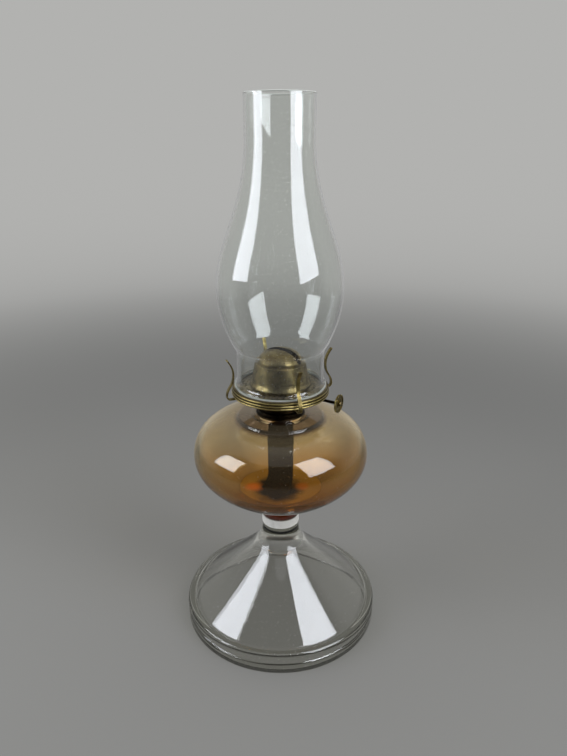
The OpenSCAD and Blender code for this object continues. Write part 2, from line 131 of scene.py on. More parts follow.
# Points of a cubic curve, of an arc, and of a path moved to its left
def curve(a, b, c, d, steps):
    points = []
    for i in range(steps + 1):
        t = i / steps
        u = 1 - t
        w = (u * u * u, 3 * u * u * t, 3 * u * t * t, t * t * t)
        points.append(tuple(sum(k * p[j] for k, p in zip(w, (a, b, c, d))) for j in (0, 1)))
    return points


def arc(centre, radius, start, end, steps):
    turn = [math.radians(start + (end - start) * i / steps) for i in range(steps + 1)]
    return [(centre[0] + radius * math.cos(a), centre[1] + radius * math.sin(a)) for a in turn]


def moved(path, distance):
    out = []
    for i, p in enumerate(path):
        a = path[max(i - 1, 0)]
        b = path[min(i + 1, len(path) - 1)]
        v = Vector((b[0] - a[0], b[1] - a[1])).normalized()
        out.append((p[0] - distance * v.y, p[1] + distance * v.x))
    return out


# One node of a shader or geometry tree, with its settings and its inputs: a value or a socket to link
def node(tree, kind, inputs=None, **settings):
    made = tree.nodes.new(kind)
    for name, value in settings.items():
        setattr(made, name, value)
    for key, value in (inputs or {}).items():
        if isinstance(value, bpy.types.NodeSocket):
            tree.links.new(value, made.inputs[key])
        else:
            made.inputs[key].default_value = value
    return made


# An sRGB hex colour as linear light
def colour(text):
    parts = [int(text[i:i + 2], 16) / 255 for i in (1, 3, 5)]
    light = [p / 12.92 if p <= 0.04045 else ((p + 0.055) / 1.055) ** 2.4 for p in parts]
    return (*light, 1.0)


# A texture's scale for a pattern that repeats about every so many millimetres
def per(size_mm):
    return 1 / (size_mm * MM)


# An empty material, its tree and its output
def new_material(name):
    material = bpy.data.materials.new(name)
    material.use_nodes = True
    material.node_tree.nodes.clear()
    tree = material.node_tree
    return material, tree, node(tree, "ShaderNodeOutputMaterial")


# Pressed and blown glass: clear, with soft ripples from the mould and a few motes of dust that dull its
# shine. Lamps shine through it, so what is inside is lit. Thick pressed glass is faintly olive in its
# depth, and rough where the plunger left its mark at the top of the hollow.
def glass_material(name, tint, shade, ior, ripple_mm, ripple, roughness, dust=0.0, depth=None):
    material, tree, out = new_material(name)
    place = node(tree, "ShaderNodeTexCoord").outputs["Object"]
    waves = node(tree, "ShaderNodeTexNoise", {"Vector": place, "Scale": per(ripple_mm), "Detail": 1.0})
    bump = node(tree, "ShaderNodeBump",
                {"Height": waves.outputs["Fac"], "Strength": ripple, "Distance": 0.4 * MM})
    motes = node(tree, "ShaderNodeTexVoronoi", {"Vector": place, "Scale": per(3.5)})
    dusty = node(tree, "ShaderNodeMapRange", {"Value": motes.outputs["Distance"], "From Min": 0.06,
                 "From Max": 0.12, "To Min": 0.3, "To Max": roughness}).outputs[0]
    if depth:
        height = node(tree, "ShaderNodeSeparateXYZ", {0: place}).outputs["Z"]
        flat = node(tree, "ShaderNodeVectorMath", {0: place, 1: (1.0, 1.0, 0.0)}, operation="MULTIPLY")
        reach = node(tree, "ShaderNodeVectorMath", {0: flat.outputs[0]}, operation="LENGTH")
        under = node(tree, "ShaderNodeMath", {0: height, 1: PLUNGER_Z * MM}, operation="LESS_THAN")
        middle = node(tree, "ShaderNodeMath", {0: reach.outputs["Value"], 1: PLUNGER_R * MM},
                      operation="LESS_THAN")
        mark = node(tree, "ShaderNodeMath", {0: under.outputs[0], 1: middle.outputs[0]},
                    operation="MULTIPLY")
        dusty = node(tree, "ShaderNodeMath", {0: mark.outputs[0], 1: 0.35, 2: dusty},
                     operation="MULTIPLY_ADD").outputs[0]
    glass = node(tree, "ShaderNodeBsdfPrincipled",
                 {"Base Color": colour(tint), "Roughness": dusty, "IOR": ior,
                  "Transmission Weight": 1.0, "Normal": bump.outputs["Normal"],
                  "Sheen Weight": dust, "Sheen Roughness": 0.33})
    clear = node(tree, "ShaderNodeBsdfTransparent", {"Color": colour(shade)})
    path = node(tree, "ShaderNodeLightPath")
    mix = node(tree, "ShaderNodeMixShader",
               {0: path.outputs["Is Shadow Ray"], 1: glass.outputs[0], 2: clear.outputs[0]})
    tree.links.new(mix.outputs[0], out.inputs["Surface"])
    if depth:
        thick = node(tree, "ShaderNodeVolumeAbsorption", {"Color": colour(depth), "Density": 18.0})
        tree.links.new(thick.outputs[0], out.inputs["Volume"])
    return material


# Ground glass edge: the chimney's foot was cut and ground, so it is white and dull. The same white on the
# chimney's lip is a painted highlight
def ground_edge_and_lip_highlight_material():
    material, tree, out = new_material("ground glass edge and painted lip highlight")
    place = node(tree, "ShaderNodeTexCoord").outputs["Object"]
    grit = node(tree, "ShaderNodeTexNoise", {"Vector": place, "Scale": per(0.5), "Detail": 3.0})
    bump = node(tree, "ShaderNodeBump",
                {"Height": grit.outputs["Fac"], "Strength": 0.3, "Distance": 0.1 * MM})
    edge = node(tree, "ShaderNodeBsdfPrincipled",
                {"Base Color": colour("#c4c8c4"), "Roughness": 0.5, "Normal": bump.outputs["Normal"]})
    tree.links.new(edge.outputs[0], out.inputs["Surface"])
    return material


# Dried lamp oil: a film that is grey-yellow on the shoulder and amber brown below, patchy as it ran down,
# and cloudy mostly at the back, where it settled
def film_material():
    material, tree, out = new_material("dried lamp oil film")
    place = node(tree, "ShaderNodeTexCoord").outputs["Object"]
    axes = node(tree, "ShaderNodeSeparateXYZ", {0: place}).outputs
    height = axes["Z"]
    lean = node(tree, "ShaderNodeVectorMath", {0: place, 1: (-0.08, 0.35, 1.0)}, operation="DOT_PRODUCT")
    patches = node(tree, "ShaderNodeTexNoise", {"Vector": place, "Scale": per(26), "Detail": 3.0})
    wander = node(tree, "ShaderNodeMath",
                  {0: patches.outputs["Fac"], 1: 0.018, 2: lean.outputs["Value"]}, operation="MULTIPLY_ADD")
    low = node(tree, "ShaderNodeMapRange",
               {"Value": wander.outputs[0], "From Min": AMBER_TOP * MM, "From Max": AMBER_FULL * MM},
               interpolation_type="SMOOTHSTEP").outputs[0]
    deep = node(tree, "ShaderNodeMapRange",
                {"Value": wander.outputs[0], "From Min": BROWN_TOP * MM, "From Max": BROWN_FULL * MM},
                interpolation_type="SMOOTHSTEP").outputs[0]
    flat = node(tree, "ShaderNodeVectorMath", {0: place, 1: (1.0, 1.0, 0.0)}, operation="MULTIPLY")
    reach = node(tree, "ShaderNodeVectorMath", {0: flat.outputs[0]}, operation="LENGTH").outputs["Value"]
    crown = node(tree, "ShaderNodeMapRange",
                 {"Value": reach, "From Min": (SHOULDER_R + 1) * MM, "From Max": (SHOULDER_R - 5) * MM},
                 interpolation_type="SMOOTHSTEP").outputs[0]
    shoulder = node(tree, "ShaderNodeMath", {0: height, 1: CROWN_Z * MM},
                    operation="GREATER_THAN").outputs[0]
    crown = node(tree, "ShaderNodeMath", {0: crown, 1: shoulder}, operation="MULTIPLY").outputs[0]
    body = node(tree, "ShaderNodeMix", {0: low, 6: colour("#f2e4c4"), 7: colour("#eac88e")},
                data_type="RGBA")
    body = node(tree, "ShaderNodeMix", {0: deep, 6: body.outputs[2], 7: colour("#a87424")},
                data_type="RGBA")
    stain = node(tree, "ShaderNodeMix", {0: low, 6: colour("#f8f3e6"), 7: colour("#f4e2be")},
                 data_type="RGBA")
    stain = node(tree, "ShaderNodeMix", {0: deep, 6: stain.outputs[2], 7: colour("#e6bc58")},
                 data_type="RGBA")
    sump = node(tree, "ShaderNodeMapRange",
                {"Value": height, "From Min": SUMP_TOP * MM, "From Max": SUMP_FULL * MM}).outputs[0]
    wall = node(tree, "ShaderNodeMapRange", {"Value": reach, "From Min": (PLUG_R - 3.3) * MM,
                "From Max": (PLUG_R - 1.3) * MM}).outputs[0]
    sump_tone = node(tree, "ShaderNodeMix", {0: wall, 6: colour("#ffffff"), 7: colour("#c48468")},
                     data_type="RGBA")
    stain = node(tree, "ShaderNodeMix", {0: sump, 6: stain.outputs[2], 7: sump_tone.outputs[2]},
                 data_type="RGBA")
    stain = node(tree, "ShaderNodeMix", {0: crown, 6: stain.outputs[2], 7: colour("#cfc6c2")},
                 data_type="RGBA")
    specks = node(tree, "ShaderNodeTexNoise", {"Vector": place, "Scale": per(1.6), "Detail": 2.0})
    haze = node(tree, "ShaderNodeMapRange",
                {"Value": specks.outputs["Fac"], "From Min": 0.3, "From Max": 0.7,
                 "To Min": 0.07, "To Max": 0.11}).outputs[0]
    below = node(tree, "ShaderNodeMapRange",
                 {"Value": height, "From Min": HAZE_TOP * MM, "From Max": HAZE_FULL * MM},
                 interpolation_type="SMOOTHSTEP").outputs[0]
    behind = node(tree, "ShaderNodeMapRange",
                  {"Value": axes["Y"], "From Min": -20 * MM, "From Max": 20 * MM,
                   "To Min": 0.016, "To Max": 0.62}, interpolation_type="SMOOTHSTEP").outputs[0]
    haze = node(tree, "ShaderNodeMix", {0: below, 2: haze, 3: behind}).outputs[0]
    thinned = node(tree, "ShaderNodeMath", {0: behind, 1: 0.06}, operation="MULTIPLY").outputs[0]
    haze = node(tree, "ShaderNodeMix", {0: deep, 2: haze, 3: thinned}).outputs[0]
    dull = node(tree, "ShaderNodeBsdfDiffuse", {"Color": body.outputs[2]})
    through = node(tree, "ShaderNodeBsdfTranslucent", {"Color": body.outputs[2]})
    cloudy = node(tree, "ShaderNodeMixShader", {0: 0.2, 1: dull.outputs[0], 2: through.outputs[0]})
    clear = node(tree, "ShaderNodeBsdfTransparent", {"Color": stain.outputs[2]})
    mix = node(tree, "ShaderNodeMixShader", {0: haze, 1: clear.outputs[0], 2: cloudy.outputs[0]})
    light = node(tree, "ShaderNodeBsdfTransparent", {"Color": colour("#f8f4ec")})
    path = node(tree, "ShaderNodeLightPath")
    mix = node(tree, "ShaderNodeMixShader",
               {0: path.outputs["Is Shadow Ray"], 1: mix.outputs[0], 2: light.outputs[0]})
    tree.links.new(mix.outputs[0], out.inputs["Surface"])
    return material


# Kerosene dregs: almost black in the middle, amber at the rim, with painted orange glints in two patches
# standing in for light shining through the oil
def dregs_material():
    material, tree, out = new_material("kerosene dregs")
    place = node(tree, "ShaderNodeTexCoord").outputs["Object"]
    flat = node(tree, "ShaderNodeVectorMath", {0: place, 1: (1.0, 1.0, 0.0)}, operation="MULTIPLY")
    oval = node(tree, "ShaderNodeVectorMath",
                {0: flat.outputs[0], 1: (1.3, 1.0, 0.0), 2: (0.004, 0.008, 0.0)},
                operation="MULTIPLY_ADD")
    reach = node(tree, "ShaderNodeVectorMath", {0: oval.outputs[0]}, operation="LENGTH").outputs["Value"]
    swirl = node(tree, "ShaderNodeTexNoise", {"Vector": place, "Scale": per(14), "Detail": 2.0})
    edge = node(tree, "ShaderNodeMath", {0: swirl.outputs["Fac"], 1: 0.020, 2: reach},
                operation="MULTIPLY_ADD").outputs[0]
    painted_glint = 0.0
    # Painted glints: two orange patches where light through the oil would shine, the left one stronger
    patches = (((-0.024, -0.003, 0.0), 0.015, 1.0), ((0.019, -0.002, 0.0), 0.012, 0.6))
    for spot, size, share in patches:
        away = node(tree, "ShaderNodeVectorMath", {0: flat.outputs[0], 1: spot}, operation="DISTANCE")
        away = node(tree, "ShaderNodeMath", {0: swirl.outputs["Fac"], 1: 0.008, 2: away.outputs["Value"]},
                    operation="MULTIPLY_ADD").outputs[0]
        glint_mask = node(tree, "ShaderNodeMapRange", {"Value": away, "From Min": size, "From Max": 0.006,
                     "To Max": share}, interpolation_type="SMOOTHSTEP").outputs[0]
        painted_glint = node(tree, "ShaderNodeMath", {0: glint_mask, 1: painted_glint}, operation="MAXIMUM").outputs[0]
    rim = node(tree, "ShaderNodeMapRange",
               {"Value": edge, "From Min": POOL_DARK * MM, "From Max": POOL_RIM * MM},
               interpolation_type="SMOOTHSTEP").outputs[0]
    tone = node(tree, "ShaderNodeMix", {0: rim, 6: colour("#0a0201"), 7: colour("#c8a045")},
                data_type="RGBA")
    tone = node(tree, "ShaderNodeMix", {0: painted_glint, 6: tone.outputs[2], 7: colour("#ff9626")},
                data_type="RGBA")
    gloss = node(tree, "ShaderNodeBsdfPrincipled",
                 {"Base Color": colour("#1c0702"), "Roughness": 0.08, "IOR": 1.44})
    back = node(tree, "ShaderNodeBsdfTranslucent", {"Color": tone.outputs[2]})
    front = node(tree, "ShaderNodeBsdfDiffuse", {"Color": tone.outputs[2]})
    glow = node(tree, "ShaderNodeMixShader", {0: 0.85, 1: back.outputs[0], 2: front.outputs[0]})
    tinted = node(tree, "ShaderNodeBsdfTransparent", {"Color": tone.outputs[2]})
    liquid = node(tree, "ShaderNodeMixShader", {0: 0.85, 1: tinted.outputs[0], 2: glow.outputs[0]})
    liquid = node(tree, "ShaderNodeMixShader", {0: 0.02, 1: liquid.outputs[0], 2: gloss.outputs[0]})
    tree.links.new(liquid.outputs[0], out.inputs["Surface"])
    return material


# Faces that look inwards or down are made near black
def darkened_inward_and_down(tree, skin, inward_dark):
    spots = node(tree, "ShaderNodeTexCoord").outputs
    out = node(tree, "ShaderNodeVectorMath", {0: spots["Object"], 1: (1.0, 1.0, 0.0)}, operation="MULTIPLY")
    out = node(tree, "ShaderNodeVectorMath", {0: out.outputs[0]}, operation="NORMALIZE")
    out = node(tree, "ShaderNodeVectorMath", {0: out.outputs[0], 1: (0.0, 0.0, 1.0)}, operation="ADD")
    seen = node(tree, "ShaderNodeVectorMath", {0: spots["Normal"], 1: out.outputs[0]},
                operation="DOT_PRODUCT")
    inside = node(tree, "ShaderNodeMapRange",
                  {"Value": seen.outputs["Value"], "From Min": 0.05, "From Max": -0.15}).outputs[0]
    return node(tree, "ShaderNodeMix", {0: inside, 6: skin.outputs[2], 7: colour(inward_dark)}, data_type="RGBA")


# The beads of the gallery's rim get a painted highlight on their crests and painted shade in the grooves
# between them
def rim_ring_light(tree, place, skin, crest_highlight, groove_shade):
    height = node(tree, "ShaderNodeSeparateXYZ", {0: place}).outputs["Z"]
    pace = 2 * math.pi / (RIM_BEAD_STEP * MM)
    turns = node(tree, "ShaderNodeMath", {0: height, 1: pace, 2: -RIM_BEAD_Z * MM * pace},
                 operation="MULTIPLY_ADD")
    wave = node(tree, "ShaderNodeMath", {0: turns.outputs[0]}, operation="COSINE").outputs[0]
    crest_lit = node(tree, "ShaderNodeMapRange", {"Value": wave, "From Min": -0.5, "From Max": 0.8},
                interpolation_type="SMOOTHSTEP").outputs[0]
    flat = node(tree, "ShaderNodeVectorMath", {0: place, 1: (1.0, 1.0, 0.0)}, operation="MULTIPLY")
    reach = node(tree, "ShaderNodeVectorMath", {0: flat.outputs[0]}, operation="LENGTH").outputs["Value"]
    rim = node(tree, "ShaderNodeMapRange", {"Value": reach, "From Min": (RIM_INSIDE - 0.3) * MM,
               "From Max": RIM_INSIDE * MM, "To Max": 0.85}).outputs[0]
    rings = node(tree, "ShaderNodeMix", {0: crest_lit, 6: colour(groove_shade), 7: colour(crest_highlight)}, data_type="RGBA")
    return node(tree, "ShaderNodeMix", {0: rim, 6: skin.outputs[2], 7: rings.outputs[2]}, data_type="RGBA")


# Stamped sheet brass, long unpolished: dull gold with olive-brown patina in soft patches and dark spots
def brass_material(name, bright, patina, spots, cover, smooth, rough, inward_dark=None, crest_highlight=None):
    material, tree, out = new_material(name)
    place = node(tree, "ShaderNodeTexCoord").outputs["Object"]
    cloud = node(tree, "ShaderNodeTexNoise", {"Vector": place, "Scale": per(9), "Detail": 4.0,
                                              "Roughness": 0.6})
    grain = node(tree, "ShaderNodeTexNoise", {"Vector": place, "Scale": per(1.3), "Detail": 5.0,
                                              "Roughness": 0.7})
    blend = node(tree, "ShaderNodeMath",
                 {0: grain.outputs["Fac"], 1: 0.3, 2: cloud.outputs["Fac"]}, operation="MULTIPLY_ADD")
    dulled = node(tree, "ShaderNodeMapRange",
                  {"Value": blend.outputs[0], "From Min": cover - 0.16, "From Max": cover + 0.16},
                  interpolation_type="SMOOTHSTEP").outputs[0]
    skin = node(tree, "ShaderNodeMix", {0: dulled, 6: colour(bright), 7: colour(patina)},
                data_type="RGBA")
    flecks = node(tree, "ShaderNodeTexNoise", {"Vector": place, "Scale": per(2.2), "Detail": 2.0})
    spotted = node(tree, "ShaderNodeMapRange",
                   {"Value": flecks.outputs["Fac"], "From Min": 0.66, "From Max": 0.76}).outputs[0]
    skin = node(tree, "ShaderNodeMix", {0: spotted, 6: skin.outputs[2], 7: colour(spots)},
                data_type="RGBA")
    if inward_dark:
        skin = darkened_inward_and_down(tree, skin, inward_dark)
    if crest_highlight:
        skin = rim_ring_light(tree, place, skin, crest_highlight, spots)
    gloss = node(tree, "ShaderNodeMapRange",
                 {"Value": dulled, "To Min": smooth, "To Max": rough}).outputs[0]
    bump = node(tree, "ShaderNodeBump",
                {"Height": grain.outputs["Fac"], "Strength": 0.07, "Distance": 0.15 * MM})
    metal = node(tree, "ShaderNodeBsdfPrincipled",
                 {"Base Color": skin.outputs[2], "Metallic": 1.0, "Roughness": gloss,
                  "Normal": bump.outputs["Normal"]})
    tree.links.new(metal.outputs[0], out.inputs["Surface"])
    return material


# Plaster of Paris under the collar: chalky, yellowed by oil
def plaster_material():
    material, tree, out = new_material("plaster of Paris")
    place = node(tree, "ShaderNodeTexCoord").outputs["Object"]
    grains = node(tree, "ShaderNodeTexNoise", {"Vector": place, "Scale": per(1.0), "Detail": 4.0})
    skin = node(tree, "ShaderNodeMix", {0: grains.outputs["Fac"], 6: colour("#a89a80"), 7: colour("#cfc5b0")},
                data_type="RGBA")
    bump = node(tree, "ShaderNodeBump",
                {"Height": grains.outputs["Fac"], "Strength": 0.4, "Distance": 0.2 * MM})
    chalk = node(tree, "ShaderNodeBsdfPrincipled",
                 {"Base Color": skin.outputs[2], "Roughness": 0.9, "Normal": bump.outputs["Normal"]})
    tree.links.new(chalk.outputs[0], out.inputs["Surface"])
    return material


# Woven cotton wick: brown with old oil, almost black where it soaks, charred and crumbly at the top
def wick_material():
    material, tree, out = new_material("oil-soaked cotton")
    place = node(tree, "ShaderNodeTexCoord").outputs["Object"]
    height = node(tree, "ShaderNodeSeparateXYZ", {0: place}).outputs["Z"]
    lint = node(tree, "ShaderNodeTexNoise", {"Vector": place, "Scale": per(2.4), "Detail": 5.0,
                                             "Roughness": 0.7})
    cotton = node(tree, "ShaderNodeMix", {0: lint.outputs["Fac"], 6: colour("#0c0705"), 7: colour("#2a1d16")},
                  data_type="RGBA")
    soak_edge = node(tree, "ShaderNodeMath", {0: lint.outputs["Fac"], 1: 0.012, 2: height},
                     operation="MULTIPLY_ADD").outputs[0]
    soaked = node(tree, "ShaderNodeMapRange",
                  {"Value": soak_edge, "From Min": 0.158, "From Max": 0.138}).outputs[0]
    charred = node(tree, "ShaderNodeMapRange",
                   {"Value": soak_edge, "From Min": 0.250, "From Max": 0.254}).outputs[0]
    skin = node(tree, "ShaderNodeMix", {0: soaked, 6: cotton.outputs[2], 7: colour("#0d0806")},
                data_type="RGBA")
    skin = node(tree, "ShaderNodeMix", {0: charred, 6: skin.outputs[2], 7: colour("#070707")},
                data_type="RGBA")
    bump = node(tree, "ShaderNodeBump",
                {"Height": lint.outputs["Fac"], "Strength": 0.5, "Distance": 0.3 * MM})
    cloth = node(tree, "ShaderNodeBsdfPrincipled",
                 {"Base Color": skin.outputs[2], "Roughness": 0.95, "Specular IOR Level": 0.12,
                  "Normal": bump.outputs["Normal"]})
    tree.links.new(cloth.outputs[0], out.inputs["Surface"])
    return material


# Plain writing paper, bare: soft white with a faint fibre
def paper_material():
    material, tree, out = new_material("plain white paper")
    place = node(tree, "ShaderNodeTexCoord").outputs["Object"]
    fibres = node(tree, "ShaderNodeTexNoise", {"Vector": place, "Scale": per(3.0), "Detail": 4.0})
    skin = node(tree, "ShaderNodeMix", {0: fibres.outputs["Fac"], 6: colour("#c8c8c6"), 7: colour("#dededb")},
                data_type="RGBA")
    sheet = node(tree, "ShaderNodeBsdfPrincipled", {"Base Color": skin.outputs[2], "Roughness": 0.75})
    tree.links.new(sheet.outputs[0], out.inputs["Surface"])
    return material


# Old glue on the back of the paper, gone beige, seen through the stem
def glue_material():
    material, tree, out = new_material("dried glue")
    place = node(tree, "ShaderNodeTexCoord").outputs["Object"]
    blots = node(tree, "ShaderNodeTexNoise", {"Vector": place, "Scale": per(4.0), "Detail": 3.0})
    skin = node(tree, "ShaderNodeMix", {0: blots.outputs["Fac"], 6: colour("#7a6a5c"), 7: colour("#a89684")},
                data_type="RGBA")
    glue = node(tree, "ShaderNodeBsdfPrincipled", {"Base Color": skin.outputs[2], "Roughness": 0.5})
    tree.links.new(glue.outputs[0], out.inputs["Surface"])
    return material


# Geometry tree that turns a profile round the lamp's axis, as a glass press or a spinning lathe does
def turning_tree():
    tree = bpy.data.node_groups.new("turned on the axis", "GeometryNodeTree")
    for name, kind in (("Profile", "Geometry"), ("Rows", "Int"), ("Steps", "Int"), ("Finish", "Material")):
        tree.interface.new_socket(name, in_out="INPUT", socket_type="NodeSocket" + kind)
    tree.interface.new_socket("Piece", in_out="OUTPUT", socket_type="NodeSocketGeometry")
    given = node(tree, "NodeGroupInput").outputs
    columns = node(tree, "ShaderNodeMath", {0: given["Steps"], 1: 1.0}, operation="ADD")
    grid = node(tree, "GeometryNodeMeshGrid", {"Size X": 1.0, "Size Y": 1.0,
                "Vertices X": columns.outputs[0], "Vertices Y": given["Rows"]})
    place = node(tree, "GeometryNodeInputPosition").outputs[0]
    share = node(tree, "ShaderNodeVectorMath", {0: place, 1: (0.5, 0.5, 0.0)}, operation="ADD")
    share = node(tree, "ShaderNodeSeparateXYZ", {0: share.outputs[0]}).outputs
    last = node(tree, "ShaderNodeMath", {0: given["Rows"], 1: 1.0}, operation="SUBTRACT")
    row = node(tree, "ShaderNodeMath", {0: share["Y"], 1: last.outputs[0]}, operation="MULTIPLY")
    row = node(tree, "ShaderNodeMath", {0: row.outputs[0]}, operation="ROUND")
    point = node(tree, "GeometryNodeSampleIndex",
                 {"Geometry": given["Profile"], "Value": place, "Index": row.outputs[0]},
                 data_type="FLOAT_VECTOR")
    point = node(tree, "ShaderNodeSeparateXYZ", {0: point.outputs[0]}).outputs
    angle = node(tree, "ShaderNodeMath", {0: share["X"], 1: 2 * math.pi}, operation="MULTIPLY").outputs[0]
    along = node(tree, "ShaderNodeMath", {0: angle}, operation="COSINE").outputs[0]
    across = node(tree, "ShaderNodeMath", {0: angle}, operation="SINE").outputs[0]
    x = node(tree, "ShaderNodeMath", {0: point["X"], 1: along}, operation="MULTIPLY").outputs[0]
    y = node(tree, "ShaderNodeMath", {0: point["X"], 1: across}, operation="MULTIPLY").outputs[0]
    spot = node(tree, "ShaderNodeCombineXYZ", {0: x, 1: y, 2: point["Z"]}).outputs[0]
    turned = node(tree, "GeometryNodeSetPosition", {"Geometry": grid.outputs["Mesh"], "Position": spot})
    closed = node(tree, "GeometryNodeMergeByDistance", {"Geometry": turned.outputs[0], "Distance": 1e-6})
    real = node(tree, "GeometryNodeRealizeInstances", {"Geometry": closed.outputs[0]})
    finished = node(tree, "GeometryNodeSetMaterial",
                    {"Geometry": real.outputs[0], "Material": given["Finish"]})
    node(tree, "NodeGroupOutput", {"Piece": finished.outputs[0]})
    return tree


# Geometry tree that raises the yarns of a plain weave on a strip that knows how far each point is along it
def weaving_tree():
    tree = bpy.data.node_groups.new("woven tape", "GeometryNodeTree")
    for name, kind in (("Strip", "Geometry"), ("Rib", "Float"), ("Pick", "Float"), ("Relief", "Float"),
                       ("Finish", "Material")):
        tree.interface.new_socket(name, in_out="INPUT", socket_type="NodeSocket" + kind)
    tree.interface.new_socket("Piece", in_out="OUTPUT", socket_type="NodeSocketGeometry")
    given = node(tree, "NodeGroupInput").outputs
    waves = []
    for name, spacing in (("across", "Rib"), ("along", "Pick")):
        way = node(tree, "GeometryNodeInputNamedAttribute", {"Name": name}, data_type="FLOAT")
        turns = node(tree, "ShaderNodeMath", {0: way.outputs[0], 1: given[spacing]}, operation="DIVIDE")
        turns = node(tree, "ShaderNodeMath", {0: turns.outputs[0], 1: math.pi}, operation="MULTIPLY")
        waves.append(node(tree, "ShaderNodeMath", {0: turns.outputs[0]}, operation="SINE").outputs[0])
    weave = node(tree, "ShaderNodeMath", {0: waves[0], 1: waves[1]}, operation="MULTIPLY")
    rise = node(tree, "ShaderNodeMath", {0: weave.outputs[0], 1: given["Relief"]}, operation="MULTIPLY")
    normal = node(tree, "GeometryNodeInputNormal").outputs[0]
    shift = node(tree, "ShaderNodeVectorMath", {0: normal, "Scale": rise.outputs[0]}, operation="SCALE")
    woven = node(tree, "GeometryNodeSetPosition",
                 {"Geometry": given["Strip"], "Offset": shift.outputs[0]})
    real = node(tree, "GeometryNodeRealizeInstances", {"Geometry": woven.outputs[0]})
    finished = node(tree, "GeometryNodeSetMaterial",
                    {"Geometry": real.outputs[0], "Material": given["Finish"]})
    node(tree, "NodeGroupOutput", {"Piece": finished.outputs[0]})
    return tree


# Runs a geometry tree on a start mesh and keeps the result as a plain mesh
def grown(name, start, tree, values):
    piece = bpy.data.objects.new(name, start)
    scene.collection.objects.link(piece)
    maker = piece.modifiers.new("maker", "NODES")
    maker.node_group = tree
    for item in tree.interface.items_tree:
        if item.item_type == "SOCKET" and item.in_out == "INPUT" and item.name in values:
            maker[item.identifier] = values[item.name]
    bpy.context.view_layer.update()
    evaluated = piece.evaluated_get(bpy.context.evaluated_depsgraph_get())
    mesh = bpy.data.meshes.new_from_object(evaluated)
    mesh.materials.clear()
    mesh.materials.append(values["Finish"])
    mesh.polygons.foreach_set("material_index", [0] * len(mesh.polygons))
    piece.modifiers.clear()
    piece.data = mesh
    return piece


# Smooth shading with crisp edges, and faces that point out
def dress(piece, crisp=40):
    shape = bmesh.new()
    shape.from_mesh(piece.data)
    bmesh.ops.dissolve_degenerate(shape, dist=1e-7, edges=shape.edges)
    bmesh.ops.recalc_face_normals(shape, faces=shape.faces)
    shape.to_mesh(piece.data)
    shape.free()
    piece.data.shade_smooth()
    piece.data.set_sharp_from_angle(angle=math.radians(crisp))


TURNING = turning_tree()
WEAVING = weaving_tree()


def turned(name, profile, finish, steps=144):
    start = bpy.data.meshes.new(name)
    points = [(r * MM, 0.0, z * MM) for r, z in profile]
    start.from_pydata(points, [(i, i + 1) for i in range(len(points) - 1)], [])
    piece = grown(name, start, TURNING, {"Rows": len(points), "Steps": steps, "Finish": finish})
    dress(piece)
    return piece


# Outlines of the glass
def foot_outside():
    groove = 1.1
    bead_z = (FOOT_BAND + FOOT_RIM) / 2
    sweep = arc((STEM_R + SWEEP_R, STEM_Z), SWEEP_R, 270 - FOOT_SLOPE, 180, 30)
    low, high = Vector((CONE_R, FOOT_RIM + 0.6)), Vector(sweep[0])
    cone = [tuple(low.lerp(high, t)) for t in (0.0, 0.015, 0.03, 0.3, 0.6, 0.9)]
    return ([(FOOT_R - 1.2, 0.0)] + arc((FOOT_R - 1.2, 1.2), 1.2, -60, 0, 4)
            + [(FOOT_R, FOOT_BAND - groove - 0.3), (FOOT_R - 0.3, FOOT_BAND - 0.6),
               (FOOT_R - groove, FOOT_BAND)]
            + curve((FOOT_R - groove, FOOT_BAND), (FOOT_R + 1.6, bead_z),
                    (FOOT_R - 0.5, FOOT_RIM + 1), (CONE_R + 2, FOOT_RIM), 18)
            + cone + sweep)


def foot_hollow():
    slope = math.radians(FOOT_SLOPE)
    line = CONE_R * math.sin(slope) + FOOT_RIM * math.cos(slope) - FOOT_WALL
    top_z = (line - HOLLOW_TOP_R) / math.cos(slope)
    low_z = (line - FOOT_RING_IN * math.sin(slope)) / math.cos(slope)
    return (arc((0.0, top_z), HOLLOW_TOP_R, 90, 90 - FOOT_SLOPE, 24)
            + [(FOOT_RING_IN, low_z), (FOOT_RING_IN, 0.6), (FOOT_RING_IN + 0.6, 0.0)])


def font_bowl():
    lower = curve((STEM_R + 2, STEM_TOP + 1), (STEM_R + 26, STEM_TOP + BELLY_H * 0.34),
                  (FONT_R, BELLY_Z - BELLY_H * 0.43), (FONT_R, BELLY_Z), 36)
    upper = curve((FONT_R, BELLY_Z), (FONT_R, BELLY_Z + SHOULDER_H * 0.62),
                  (SHOULDER_R + 18, SHOULDER_Z - 0.5), (SHOULDER_R, SHOULDER_Z), 28)
    return lower + upper[1:]


def font_top():
    edge = 1.2
    step_r = COLLAR_FLANGE_R + 3.4
    return ([(BUTTON_R + 1.4, SHOULDER_Z + 0.1), (BUTTON_R + 0.5, SHOULDER_Z + 0.5)]
            + arc((BUTTON_R - edge, BUTTON_EDGE - edge), edge, 0, 90, 8)
            + [(step_r + 1.5, BUTTON_Z - 0.93), (step_r + 0.9, BUTTON_Z - 0.85),
               (step_r + 0.4, BUTTON_Z - 0.35), (step_r, BUTTON_Z - 0.08), (step_r - 0.5, BUTTON_Z),
               (NECK_R, BUTTON_Z), (NECK_R, NECK_TOP), (NECK_BORE, NECK_TOP)])


def font_inside(gap):
    return moved(font_bowl(), FONT_WALL + gap)


